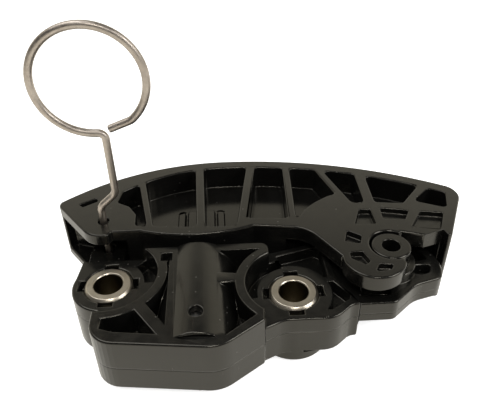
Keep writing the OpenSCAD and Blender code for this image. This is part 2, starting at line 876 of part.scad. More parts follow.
// Low pad on the web above the plunger, with a round-ended rib on each side
module pad_ribs() {
  middle_x = axis_x + 0.9;
  pad_w = 7;
  finger_w = 1.8;
  finger_dx = 5.1;
  finger_len = 13.2;
  translate([middle_x - pad_w / 2, arm_low_y - 1]) square([pad_w, finger_len + 1 + finger_w / 2]);
  for (side = [-1, 1]) {
    translate([middle_x + side * finger_dx, arm_low_y]) {
      translate([-finger_w / 2, -1]) square([finger_w, finger_len + 1]);
      translate([0, finger_len]) circle(finger_w / 2);
    }
  }
}

// Shallow pockets around the eye, each by its corners from the pivot
module eye_pockets() {
  pockets = [
    [[-4.6, 13.8], [-1.8, 13.7], [-1.6, 8], [-6.8, 8.1]],
    [[0.8, 14.2], [7.6, 12.6], [5.8, 9.2], [0.6, 9.8]],
    [[10.4, 12], [15.8, 11], [13.2, 4.8], [6.6, 6.2]],
    [[-9.2, 5.8], [-6.2, 3.6], [-7, 1], [-10.4, 1.8]],
    [[-10.1, -2], [-7.2, -2], [-6.1, -5.2], [-7.3, -6.4], [-10.1, -4]],
    [[-4.3, -6.4], [-1.2, -6.8], [-2.3, -8.4], [-5.6, -8.7]]
  ];
  for (pocket = pockets) {
    polygon(rounded([for (p = pocket) corner(pivot + p, eye_pocket_round)]));
  }
}

// The arm's bays at the front, down to the web with its low pad, and at the rear
module bay_cuts() {
  between(arm_web_top_z + pad_h, arm_top_z + cut) bays();
  between(arm_web_top_z, arm_web_top_z + pad_h + cut) difference() {
    bays();
    pad_ribs();
  }
  between(arm_back_z - cut, arm_web_back_z) bays();
}

// Ribbed arm with a chain face, an open hook and a saddle on the post, and the pin's plate
module tensioner_arm() {
  color(black) difference() {
    between(arm_back_z, arm_top_z) arm_outline();
    between(hook_over_z, hook_under_z) clevis_space();
    between(arm_back_z - cut, hook_over_z + cut) below_saddle();
    between(tip_back_z + tip_floor_t, arm_top_z - tip_plate_t) lug_space();
    between(arm_back_z - cut, tip_back_z) tip_relief();
    bay_cuts();
    between(arm_top_z - eye_pocket_depth, arm_top_z + cut) eye_pockets();
    between(arm_top_z - tip_plate_t - cut, arm_top_z + cut) disc(pin, pin_hole_d / 2);
    between(arm_top_z - eye_pocket_depth, arm_top_z + cut) tip_slot();
  }
}

// Straight stretch of the lock pin's wire, between points [x, z] from the pin's axis.
// It laps over the bends at its ends, where the wire is drawn a hair thinner.
module wire(p, q) {
  run = q - p;
  translate([pin.x + p.x, pin.y, p.y]) rotate([0, 90 - atan2(run.y, run.x), 0])
    translate([0, 0, -wire_lap]) cylinder(r = wire_r, h = norm(run) + 2 * wire_lap);
}

// Bent stretch of the wire around a middle [x, z], from angle a0 through turn
module bend(middle, r, a0, turn) {
  translate([pin.x + middle.x, pin.y, middle.y]) rotate([90, 0, 0]) rotate(a0)
    rotate_extrude(angle = turn) translate([r, 0]) circle(wire_r - wire_thinning);
}

// Bent wire pin with its pull ring
module lock_pin() {
  slant = 48;
  bend_r = 3;
  ring_bend_r = 1.6;
  rise = bend_r * tan(slant / 2);
  jog_z = arm_top_z + 4.4;
  jog_end = [shank_step, jog_z + shank_step * tan(90 - slant)];
  slope = [sin(slant), cos(slant)];
  ring = [shank_step - ring_bend_r, ring_z];
  shank_top = [shank_step, ring_z - ring_r - ring_bend_r];
  end_angle = -47;
  stub_turn = 22;
  stub_bend_r = 3;
  stub_len = 5;
  join = 0.05;
  ring_end = ring + ring_r * [cos(end_angle), sin(end_angle)];
  stub_angle = end_angle - stub_turn;
  stub_middle = ring + (ring_r - stub_bend_r) * [cos(end_angle), sin(end_angle)];
  stub_start = stub_middle + stub_bend_r * [cos(stub_angle), sin(stub_angle)];
  stub_end = stub_start + stub_len * [sin(stub_angle), -cos(stub_angle)];
  color(wire_grey) union() {
    wire([0, pin_tip_z + wire_lap], [0, jog_z - rise]);
    bend([bend_r, jog_z - rise], bend_r, 180 - slant, slant);
    wire([0, jog_z] + rise * slope, jog_end - rise * slope);
    bend(jog_end + [-bend_r, rise], bend_r, -slant, slant);
    wire(jog_end + [0, rise], shank_top);
    bend(shank_top - [ring_bend_r, 0], ring_bend_r, 0, 90);
    wire(ring - [0, ring_r], ring - [join, ring_r]);
    bend(ring, ring_r, end_angle, 270 - end_angle);
    wire(ring_end, ring_end + join * [sin(end_angle), -cos(end_angle)]);
    bend(stub_middle, stub_bend_r, stub_angle, stub_turn);
    wire(stub_start, stub_end);
  }
}

housing();
bush_left();
bush_right();
cylinder_sleeve();
valve_seat();
check_ball();
ball_spring();
ball_cage();
plunger_spring();
plunger();
vent_disc();
tensioner_arm();
lock_pin();
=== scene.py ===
"""Looks of a timing chain tensioner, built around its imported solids.

The moulded body and arm get rounded edges, grain, parting lines and rubbed edges. The steel bushes
and the wire pin are modelled anew, and the steel and plastic pieces inside keep their solids and get
finishes of their own. All lengths are in metres, in the frame of the solids.
"""

import json
import logging
import math
from dataclasses import dataclass, field
from enum import Enum
from typing import Any, Sequence

import bmesh
import bpy
from bmesh.types import BMEdge, BMesh, BMFace, BMVert
from bpy.types import Material, Mesh, MeshLoopTriangle, Node, NodeSocket, Object, ShaderNodeTree
from mathutils import Matrix, Vector
from mathutils.bvhtree import BVHTree
from mathutils.geometry import intersect_point_line
from mathutils.interpolate import poly_3d_calc
from mathutils.kdtree import KDTree


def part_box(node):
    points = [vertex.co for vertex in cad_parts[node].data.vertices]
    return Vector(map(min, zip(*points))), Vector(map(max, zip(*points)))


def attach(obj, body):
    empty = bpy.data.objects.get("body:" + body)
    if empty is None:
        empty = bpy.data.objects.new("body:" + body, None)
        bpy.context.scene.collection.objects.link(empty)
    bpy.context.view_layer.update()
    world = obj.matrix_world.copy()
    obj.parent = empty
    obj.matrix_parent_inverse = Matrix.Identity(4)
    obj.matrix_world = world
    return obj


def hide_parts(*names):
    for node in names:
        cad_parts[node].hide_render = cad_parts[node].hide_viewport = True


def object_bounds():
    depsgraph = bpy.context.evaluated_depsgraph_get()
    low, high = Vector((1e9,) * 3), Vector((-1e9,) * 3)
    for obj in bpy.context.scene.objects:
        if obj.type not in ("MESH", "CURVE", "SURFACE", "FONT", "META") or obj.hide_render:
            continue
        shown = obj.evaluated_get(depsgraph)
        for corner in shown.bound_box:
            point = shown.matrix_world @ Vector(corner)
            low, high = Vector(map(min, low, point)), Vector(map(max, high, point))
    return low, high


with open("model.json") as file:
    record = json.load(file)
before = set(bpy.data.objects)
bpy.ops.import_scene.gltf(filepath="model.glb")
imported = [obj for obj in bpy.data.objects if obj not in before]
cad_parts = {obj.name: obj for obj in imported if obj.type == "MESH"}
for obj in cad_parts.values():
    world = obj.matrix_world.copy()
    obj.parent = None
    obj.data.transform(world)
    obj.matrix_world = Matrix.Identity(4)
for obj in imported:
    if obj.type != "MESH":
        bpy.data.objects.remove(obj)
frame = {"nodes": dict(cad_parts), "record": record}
CAD_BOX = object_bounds()
MOUNTS = {mount["name"]: mount for mount in frame["record"]["mounts"]}

MM = 0.001
SHARP = math.radians(38.0)
Colour = tuple[float, float, float]
Place = tuple[float, float, float]
Span = tuple[float, float]
log = logging.getLogger("tensioner")


class Body(str, Enum):
    """Bodies that the new pieces ride on, by their names in the solids."""

    HOUSING = "body"
    ARM = "arm"
    PIN = "pin"


class Slot(str, Enum):
    """Material slots of the part's record, named along with each new piece but not used."""

    BODY_NYLON = "black_nylon"
    ARM_NYLON = "arm_nylon"
    BUSH = "bush_steel"
    WIRE = "wire_steel"


class NodeTree:
    """Small helper that adds nodes to a shader tree and links them."""

    def __init__(self, tree: ShaderNodeTree) -> None:
        """Keeps the tree of a material, world or group that the nodes go into."""
        self.tree = tree

    def add(self, kind: str, inputs: dict[Any, Any] | None = None, **settings: Any) -> Node:
        """Adds one node.

        Args:
            kind: Blender's type name of the node.
            inputs: Values, or output sockets to link, by input name or number.
            **settings: Properties of the node itself.

        Returns:
            The new node.
        """
        node = self.tree.nodes.new(kind)
        for name, value in settings.items():
            setattr(node, name, value)
        self.feed_all(node, inputs or {})
        return node

    def feed_all(self, node: Node, inputs: dict[Any, Any]) -> None:
        """Feeds several inputs of a node, by name or number."""
        for name, value in inputs.items():
            self.feed(node.inputs[name], value)

    def feed(self, socket: NodeSocket, value: Any) -> None:
        """Links an output socket to an input, or sets the input's own value."""
        if isinstance(value, NodeSocket):
            self.tree.links.new(value, socket)
        else:
            socket.default_value = value

    def math(self, operation: str, *values: Any, clamp: bool = False) -> NodeSocket:
        """Adds a Math node for one to three numbers or sockets, and gives its output."""
        node = self.add("ShaderNodeMath", dict(enumerate(values)), operation=operation, use_clamp=clamp)
        return node.outputs[0]

    def ramp(self, value: Any, low: float, high: float, to_low: float = 0.0, to_high: float = 1.0) -> Any:
        """Maps a value smoothly from one range to another.

        Args:
            value: The socket to map.
            low: Where the source range starts.
            high: Where the source range ends.
            to_low: Result at low.
            to_high: Result at high.

        Returns:
            The output socket.
        """
        inputs = {"Value": value, 1: low, 2: high, 3: to_low, 4: to_high}
        return self.add("ShaderNodeMapRange", inputs, interpolation_type="SMOOTHSTEP").outputs[0]

    def blend(self, share: Any, first: Any, second: Any) -> NodeSocket:
        """Mixes two colours.

        Args:
            share: How much of the second colour shows, 0 to 1.
            first: Colour or socket at 0.
            second: Colour or socket at 1.

        Returns:
            The colour's output socket.
        """
        node = self.add("ShaderNodeMix", {0: share}, data_type="RGBA")
        for number, colour in ((6, first), (7, second)):
            self.feed(node.inputs[number], (*colour, 1.0) if isinstance(colour, tuple) else colour)
        return node.outputs[2]

    def noise(self, vector: Any, scale: Any, detail: float = 2.0, roughness: float = 0.5) -> Any:
        """Adds a noise texture whose scale is in cells to the metre, and gives its value."""
        inputs = {"Vector": vector, "Scale": scale, "Detail": detail, "Roughness": roughness}
        return self.add("ShaderNodeTexNoise", inputs).outputs[0]


class Effects:
    """Shader node groups that several finishes share, each built once."""

    def __init__(self) -> None:
        """Builds all groups."""
        self.grain = self._grain()
        self.edge_rub = self._edge_rub()
        self.parting_line = self._parting_line()
        self.turned_lines = self._turned_lines()
        self.handling = self._handling()

    @staticmethod
    def _open(name: str, inputs: dict[str, float | None], outputs: Sequence[str]) -> tuple[Any, ...]:
        """Starts a group with its sockets.

        Args:
            name: The group's name.
            inputs: Default of each number input by name, None for a vector.
            outputs: Names of its number outputs.

        Returns:
            The group, its helper, its input node's sockets and its output node's sockets.
        """
        group = bpy.data.node_groups.new(name, "ShaderNodeTree")
        for label, default in inputs.items():
            kind = "NodeSocketVector" if default is None else "NodeSocketFloat"
            socket = group.interface.new_socket(label, in_out="INPUT", socket_type=kind)
            if default is not None:
                socket.default_value = default
        for label in outputs:
            group.interface.new_socket(label, in_out="OUTPUT", socket_type="NodeSocketFloat")
        nodes = NodeTree(group)
        return group, nodes, nodes.add("NodeGroupInput").outputs, nodes.add("NodeGroupOutput").inputs

    def _grain(self) -> ShaderNodeTree:
        """Fine grain and cloudy flow marks of a moulded surface."""
        group, nodes, given, result = self._open(
            "moulded_grain", {"Vector": None, "Fine": 2600.0, "Cloud": 120.0}, ("Height", "Cloud", "Sheen")
        )
        fine_share, medium_to_cloud = 0.7, 5.0
        medium_scale = nodes.math("MULTIPLY", given["Cloud"], medium_to_cloud)
        fine = nodes.noise(given["Vector"], given["Fine"], detail=3.0, roughness=0.6)
        cloud = nodes.noise(given["Vector"], given["Cloud"], detail=4.0, roughness=0.55)
        medium = nodes.noise(given["Vector"], medium_scale, detail=3.0)
        low_part = nodes.math("MULTIPLY", medium, 1.0 - fine_share)
        height = nodes.math("ADD", nodes.math("MULTIPLY", fine, fine_share), low_part)
        nodes.feed(result["Height"], height)
        nodes.feed(result["Cloud"], nodes.ramp(cloud, low=0.32, high=0.68))
        nodes.feed(result["Sheen"], nodes.ramp(medium, low=0.3, high=0.7))
        return group

    def _edge_rub(self) -> ShaderNodeTree:
        """Mask along outer edges, broken up by noise."""
        group, nodes, given, result = self._open(
            "edge_rub", {"Vector": None, "Radius": 0.4 * MM}, ("Mask",)
        )
        rounded = nodes.add("ShaderNodeBevel", {"Radius": given["Radius"]}, samples=4).outputs[0]
        plain = nodes.add("ShaderNodeNewGeometry").outputs["Normal"]
        likeness = nodes.add("ShaderNodeVectorMath", {0: rounded, 1: plain}, operation="DOT_PRODUCT")
        edge = nodes.ramp(likeness.outputs["Value"], low=0.995, high=0.86)
        patches = nodes.noise(given["Vector"], scale=420.0, detail=4.0, roughness=0.65)
        broken = nodes.ramp(patches, low=0.36, high=0.6)
        nodes.feed(result["Mask"], nodes.math("MULTIPLY", edge, broken))
        return group

    def _parting_line(self) -> ShaderNodeTree:
        """Mask of the fine line where two halves of a mould met, at one level of Z."""
        group, nodes, given, result = self._open(
            "parting_line", {"Vector": None, "Level": 0.0, "Half width": 0.08 * MM}, ("Mask",)
        )
        drift = 0.05 * MM
        height = nodes.add("ShaderNodeSeparateXYZ", {0: given["Vector"]}).outputs["Z"]
        wander = nodes.math("MULTIPLY", nodes.noise(given["Vector"], scale=90.0, detail=1.0), drift)
        off = nodes.math("SUBTRACT", nodes.math("ADD", height, wander), given["Level"])
        share = nodes.math("DIVIDE", nodes.math("ABSOLUTE", off), given["Half width"])
        nodes.feed(result["Mask"], nodes.ramp(share, low=1.0, high=0.3))
        return group

    def _turned_lines(self) -> ShaderNodeTree:
        """Fine rings that a cutting tool leaves around its Z axis, and a mask of the bore for painted
        shade.
        """
        group, nodes, given, result = self._open(
            "turned_lines", {"Vector": None, "Rings": 9000.0, "Bore": 0.0}, ("Height", "Shade", "Inside")
        )
        least_bore = 0.01 * MM
        inputs = {"Vector": given["Vector"], "Scale": given["Rings"], "Distortion": 0.6, "Detail": 2.0}
        rings = nodes.add("ShaderNodeTexWave", inputs, wave_type="RINGS", rings_direction="Z")
        patches = nodes.noise(given["Vector"], scale=380.0, detail=3.0, roughness=0.6)
        cut = nodes.math("MULTIPLY", rings.outputs["Fac"], nodes.ramp(patches, low=0.3, high=0.7))
        nodes.feed(result["Height"], cut)
        nodes.feed(result["Shade"], nodes.ramp(patches, low=0.35, high=0.7))
        place = nodes.add("ShaderNodeSeparateXYZ", {0: given["Vector"]})
        flat = nodes.add("ShaderNodeCombineXYZ", {0: place.outputs["X"], 1: place.outputs["Y"]})
        reach = nodes.add("ShaderNodeVectorMath", {0: flat.outputs[0]}, operation="LENGTH")
        bore = nodes.math("MAXIMUM", given["Bore"], least_bore)
        share = nodes.math("DIVIDE", reach.outputs["Value"], bore)
        # Inside the bore's radius: the mask where the bore's shade is painted.
        nodes.feed(result["Inside"], nodes.ramp(share, low=1.04, high=1.0))
        return group

    def _handling(self) -> ShaderNodeTree:
        """Masks of fine scratches and of dust specks from handling."""
        group, nodes, given, result = self._open(
            "handling_marks", {"Vector": None, "Size": 240.0}, ("Scratches", "Specks")
        )
        middle, specks_to_size, speck_chance = 0.5, 2.6, 0.14
        inputs = {"Vector": given["Vector"], "Rotation": (0.4, 0.3, 0.7), "Scale": (1.0, 14.0, 9.0)}
        stretch = nodes.add("ShaderNodeMapping", inputs).outputs[0]
        lines = nodes.noise(stretch, given["Size"], detail=2.0, roughness=0.4)
        thin = nodes.math("ABSOLUTE", nodes.math("SUBTRACT", lines, middle))
        sparse = nodes.ramp(nodes.noise(given["Vector"], scale=70.0, detail=2.0), low=0.55, high=0.68)
        scratches = nodes.math("MULTIPLY", nodes.ramp(thin, low=0.012, high=0.0), sparse)
        nodes.feed(result["Scratches"], scratches)
        cells = nodes.math("MULTIPLY", given["Size"], specks_to_size)
        dots = nodes.add("ShaderNodeTexVoronoi", {"Vector": given["Vector"], "Scale": cells})
        picked = nodes.add("ShaderNodeSeparateColor", {0: dots.outputs["Color"]}).outputs[0]
        few = nodes.math("GREATER_THAN", picked, 1.0 - speck_chance)
        round_dots = nodes.ramp(dots.outputs["Distance"], low=0.16, high=0.06)
        nodes.feed(result["Specks"], nodes.math("MULTIPLY", round_dots, few))
        return group


@dataclass(frozen=True)
class Finish:
    """What every finish has: a name, its colours and its gloss."""

    name: str
    colour: Colour
    second: Colour
    roughness: Span

    def begin(self) -> tuple[Material, NodeTree, Node, Any]:
        """Starts a material with its shader and Object coordinates.

        Returns:
            The material, its tree helper, its shader and the coordinates' socket.
        """
        material = bpy.data.materials.new(self.name)
        material.use_nodes = True
        nodes = NodeTree(material.node_tree)
        shader = material.node_tree.nodes["Principled BSDF"]
        place = nodes.add("ShaderNodeTexCoord").outputs["Object"]
        return material, nodes, shader, place

    def gloss(self, nodes: NodeTree, share: Any) -> NodeSocket:
        """Spreads the roughness over its range by a mask."""
        return nodes.ramp(share, 0.0, 1.0, *self.roughness)

    @staticmethod
    def use(nodes: NodeTree, group: ShaderNodeTree, place: Any, **values: float) -> Any:
        """Places a shared effect in a material.

        Args:
            nodes: The material's tree helper.
            group: The effect's node group.
            place: Coordinates for it.
            **values: Its number inputs, with _ for a space.

        Returns:
            The group node's output sockets.
        """
        inputs = {label.replace("_", " "): value for label, value in values.items()}
        return nodes.add("ShaderNodeGroup", {"Vector": place, **inputs}, node_tree=group).outputs

    @staticmethod
    def bump(nodes: NodeTree, height: Any, depth: float, strength: float, under: Any = None) -> Any:
        """Makes a normal from a height.

        Args:
            nodes: The material's tree helper.
            height: Socket with the height, 0 to 1.
            depth: Depth of the relief in metres.
            strength: Strength of the effect.
            under: Normal of a coarser relief below it, if any.

        Returns:
            The normal's socket.
        """
        relief = nodes.add("ShaderNodeBump", {"Height": height, "Distance": depth, "Strength": strength})
        if under is not None:
            nodes.feed(relief.inputs["Normal"], under)
        return relief.outputs[0]


@dataclass(frozen=True)
class MouldedNylon(Finish):
    """Satin black glass-filled nylon with grain, a parting line, rubbed edges and handling marks."""

    rubbed: Colour
    parting_level: float
    smooth_below: float
    smooth_fade: float = 0.2 * MM
    smooth_roughness: float = 0.17
    sheen_tint: Colour = (1.0, 0.95, 0.82)
    grain: float = 2400.0
    cloud: float = 95.0
    grain_depth: float = 0.01 * MM
    grain_strength: float = 0.5
    rub_radius: float = 0.35 * MM
    rub_share: float = 0.55
    rub_gloss: float = 0.08
    marks: float = 230.0
    scratch_share: float = 0.18
    dust: Colour = (0.32, 0.31, 0.28)
    dust_share: float = 0.16
    groove: Colour = (0.004, 0.004, 0.004)
    groove_share: float = 0.75
    groove_half_width: float = 0.2 * MM
    groove_depth: float = 0.12 * MM

    def make(self, effects: Effects) -> Material:
        """Builds the material from the shared effects."""
        material, nodes, shader, place = self.begin()
        grain = self.use(nodes, effects.grain, place, Fine=self.grain, Cloud=self.cloud)
        rub = self.use(nodes, effects.edge_rub, place, Radius=self.rub_radius)["Mask"]
        line_sizes = {"Level": self.parting_level, "Half_width": self.groove_half_width}
        line = self.use(nodes, effects.parting_line, place, **line_sizes)["Mask"]
        marks = self.use(nodes, effects.handling, place, Size=self.marks)
        scratched = nodes.math("MULTIPLY", marks["Scratches"], self.scratch_share)
        worn = nodes.math("ADD", nodes.math("MULTIPLY", rub, self.rub_share), scratched, clamp=True)
        tone = nodes.blend(grain["Cloud"], self.colour, self.second)
        tone = nodes.blend(worn, tone, self.rubbed)
        tone = nodes.blend(nodes.math("MULTIPLY", marks["Specks"], self.dust_share), tone, self.dust)
        tone = nodes.blend(nodes.math("MULTIPLY", line, self.groove_share), tone, self.groove)
        shine = nodes.math("MULTIPLY", rub, self.rub_gloss)
        gloss = nodes.math("SUBTRACT", self.gloss(nodes, grain["Sheen"]), shine)
        layers = {0: self._polished(nodes, place), 2: gloss, 3: self.smooth_roughness}
        gloss = nodes.add("ShaderNodeMix", layers).outputs[0]
        relief = self.bump(nodes, nodes.math("SUBTRACT", 1.0, line), self.groove_depth, 1.0)
        relief = self.bump(nodes, grain["Height"], self.grain_depth, self.grain_strength, relief)
        surface = {"Base Color": tone, "Roughness": gloss, "Normal": relief}
        nodes.feed_all(shader, surface | {"Specular Tint": (*self.sheen_tint, 1.0)})
        return material

    def _polished(self, nodes: NodeTree, place: Any) -> NodeSocket:
        """Masks the floors of the pockets, which the mould's polished cores left smoother."""
        level = nodes.add("ShaderNodeSeparateXYZ", {0: place}).outputs["Z"]
        normal = nodes.add("ShaderNodeNewGeometry").outputs["Normal"]
        upward = nodes.add("ShaderNodeSeparateXYZ", {0: normal}).outputs["Z"]
        deep = nodes.ramp(level, self.smooth_below, self.smooth_below - self.smooth_fade)
        return nodes.math("MULTIPLY", deep, nodes.ramp(upward, low=0.9, high=0.98))


@dataclass(frozen=True)
class TurnedSteel(Finish):
    """Bright turned steel with the tool's rings around one axis and painted shade in its bore."""

    axis: Place
    turn: Place = (0.0, 0.0, 0.0)
    rings: float = 5200.0
    ring_depth: float = 0.001 * MM
    ring_strength: float = 0.15
    marks: float = 420.0
    stain: Colour = (0.30, 0.25, 0.18)
    stain_share: float = 0.08
    scratch_gloss: float = 0.1
    bore: float = 0.0
    # Dark brown painted shade inside the bore, standing in for the shadow there.
    bore_painted_shade: Colour = (0.12, 0.10, 0.066)

    def make(self, effects: Effects) -> Material:
        """Builds the material from the shared effects."""
        material, nodes, shader, place = self.begin()
        inputs = {"Vector": place, "Location": self.axis, "Rotation": self.turn}
        centred = nodes.add("ShaderNodeMapping", inputs, vector_type="TEXTURE").outputs[0]
        lines = self.use(nodes, effects.turned_lines, centred, Rings=self.rings, Bore=self.bore)
        marks = self.use(nodes, effects.handling, place, Size=self.marks)
        tone = nodes.blend(lines["Shade"], self.colour, self.second)
        tone = nodes.blend(nodes.math("MULTIPLY", marks["Specks"], self.stain_share), tone, self.stain)
        # Paints dark shade inside the bore.
        tone = nodes.blend(lines["Inside"], tone, self.bore_painted_shade)
        dull = nodes.math("MULTIPLY", marks["Scratches"], self.scratch_gloss)
        gloss = nodes.math("ADD", self.gloss(nodes, lines["Shade"]), dull)
        relief = self.bump(nodes, lines["Height"], self.ring_depth, self.ring_strength)
        surface = {"Base Color": tone, "Roughness": gloss, "Normal": relief, "Metallic": 1.0}
        nodes.feed_all(shader, surface)
        return material


@dataclass(frozen=True)
class DrawnSteel(Finish):
    """Dull drawn steel wire with draw marks along it and grey patches."""

    along: Place = (1.0, 1.0, 0.12)
    draw: float = 5200.0
    draw_tone: Colour = (0.16, 0.14, 0.12)
    draw_share: float = 0.35
    draw_depth: float = 0.01 * MM
    draw_strength: float = 0.4
    marks: float = 520.0
    scratch_gloss: float = 0.12
    grain: float = 6000.0
    cloud: float = 260.0

    def make(self, effects: Effects) -> Material:
        """Builds the material from the shared effects."""
        material, nodes, shader, place = self.begin()
        stretch = nodes.add("ShaderNodeMapping", {"Vector": place, "Scale": self.along}).outputs[0]
        draw = nodes.noise(stretch, self.draw, detail=3.0, roughness=0.6)
        marks = self.use(nodes, effects.handling, place, Size=self.marks)
        grain = self.use(nodes, effects.grain, place, Fine=self.grain, Cloud=self.cloud)
        drawn = nodes.math("MULTIPLY", nodes.ramp(draw, low=0.55, high=0.75), self.draw_share)
        tone = nodes.blend(grain["Cloud"], self.colour, self.second)
        tone = nodes.blend(drawn, tone, self.draw_tone)
        dull = nodes.math("MULTIPLY", marks["Scratches"], self.scratch_gloss)
        gloss = nodes.math("ADD", self.gloss(nodes, grain["Sheen"]), dull)
        relief = self.bump(nodes, draw, self.draw_depth, self.draw_strength)
        surface = {"Base Color": tone, "Roughness": gloss, "Normal": relief, "Metallic": 1.0}
        nodes.feed_all(shader, surface)
        return material


@dataclass(frozen=True)
class PlainMoulding(Finish):
    """Pale moulded plastic with a soft cloud of tone."""

    grain: float = 3200.0
    cloud: float = 240.0
    grain_depth: float = 0.03 * MM
    grain_strength: float = 0.4

    def make(self, effects: Effects) -> Material:
        """Builds the material from the shared effects."""
        material, nodes, shader, place = self.begin()
        grain = self.use(nodes, effects.grain, place, Fine=self.grain, Cloud=self.cloud)
        tone = nodes.blend(grain["Cloud"], self.colour, self.second)
        gloss = self.gloss(nodes, grain["Sheen"])
        relief = self.bump(nodes, grain["Height"], self.grain_depth, self.grain_strength)
        nodes.feed_all(shader, {"Base Color": tone, "Roughness": gloss, "Normal": relief})
        return material


def middle_of(node: str) -> Vector:
    """Gives the middle of a solid's box."""
    return sum(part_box(node), Vector()) / 2


def mesh_of(name: str, shape: BMesh) -> Mesh:
    """Makes a mesh from a finished bmesh, which is freed."""
    mesh = bpy.data.meshes.new(name)
    shape.to_mesh(mesh)
    shape.free()
    return mesh


def new_piece(mesh: Mesh, material: Material) -> Object:
    """Makes an object from a finished mesh, smooth apart from its sharp edges.

    Args:
        mesh: The mesh, whose name the object takes.
        material: Its finish.

    Returns:
        The object, linked to the scene.
    """
    for label in ("custom_normal", "sharp_edge", "sharp_face"):
        if label in mesh.attributes:
            mesh.attributes.remove(mesh.attributes[label])
    mesh.shade_smooth()
    mesh.set_sharp_from_angle(angle=SHARP)
    mesh.materials.clear()
    mesh.materials.append(material)
    piece = bpy.data.objects.new(mesh.name, mesh)
    bpy.context.scene.collection.objects.link(piece)
    return piece


def follow_large_faces(piece: Object) -> None:
    """Makes a piece's normals follow its large faces."""
    weigh = piece.modifiers.new("face_normals", "WEIGHTED_NORMAL")
    weigh.mode = "FACE_AREA_WITH_ANGLE"
    weigh.weight = 60
    weigh.keep_sharp = True


def hand_over(piece: Object, body: Body, slot: Slot, *nodes: str) -> None:
    """Makes a piece ride on its body in place of its solids.

    Args:
        piece: The finished piece.
        body: The body that it moves with.
        slot: Material slot of the record; not used.
        *nodes: Solids that it stands for.
    """
    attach(piece, body.value)
    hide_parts(*nodes)
    log.info("%s: %d faces, rides on %s", piece.name, len(piece.data.polygons), body.value)


def sharp_edges(shape: BMesh, degrees: float) -> list[BMEdge]:
    """Finds the edges whose two faces' normals are more than an angle apart."""
    least = math.radians(degrees)
    return [edge for edge in shape.edges if edge.is_manifold and edge.calc_face_angle(0.0) > least]


def round_edges(shape: BMesh, edges: list[BMEdge], radius: float) -> None:
    """Rounds edges off, by a radius that is the rounding's width on each face."""
    bmesh.ops.bevel(
        shape,
        geom=edges,
        offset=radius,
        offset_type="OFFSET",
        affect="EDGES",
        segments=2,
        profile=0.5,
        material=-1,
        clamp_overlap=False,
        loop_slide=True,
    )


@dataclass
class TrueNormals:
    """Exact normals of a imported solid, for the mesh that takes its place.

    Attributes:
        touch: Farthest that a vertex still on the solid lies from it.
        step: Step into a face, so that a corner is looked up on its own side of an edge.
    """

    solid: Mesh
    touch: float = 0.003 * MM
    step: float = 0.02 * MM
    places: list[Vector] = field(init=False)
    skin: BVHTree = field(init=False)

    def __post_init__(self) -> None:
        """Makes the solid's triangles ready to be searched."""
        self.solid.calc_loop_triangles()
        self.places = [vert.co.copy() for vert in self.solid.vertices]
        corners = [tuple(triangle.vertices) for triangle in self.solid.loop_triangles]
        self.skin = BVHTree.FromPolygons(self.places, corners)

    def at(self, place: Vector) -> Vector:
        """Gives the normal of the solid's surface nearest to a place."""
        spot, _, number, _ = self.skin.find_nearest(place)
        triangle = self.solid.loop_triangles[number]
        shares = poly_3d_calc([self.places[corner] for corner in triangle.vertices], spot)
        exact = [self.solid.corner_normals[corner].vector for corner in triangle.loops]
        return sum((normal * share for normal, share in zip(exact, shares)), Vector()).normalized()

    def carry_over(self, mesh: Mesh) -> None:
        """Gives the normals to a mesh wherever it lies on the solid."""
        on_solid = [self.skin.find_nearest(vert.co)[3] < self.touch for vert in mesh.vertices]
        # A corner whose vector stays zero keeps Blender's own normal.
        normals = [Vector()] * len(mesh.loops)
        for face in mesh.polygons:
            around = [mesh.vertices[number].co for number in face.vertices]
            for turn, corner in enumerate(face.loop_indices):
                if not on_solid[face.vertices[turn]]:
                    continue
                along = around[(turn + 1) % len(around)] - around[turn - 1]
                inward = face.normal.cross(along).normalized()
                normal = self.at(around[turn] + inward * self.step)
                if normal.dot(face.normal) > math.cos(SHARP):
                    normals[corner] = normal
        mesh.normals_split_custom_set(normals)


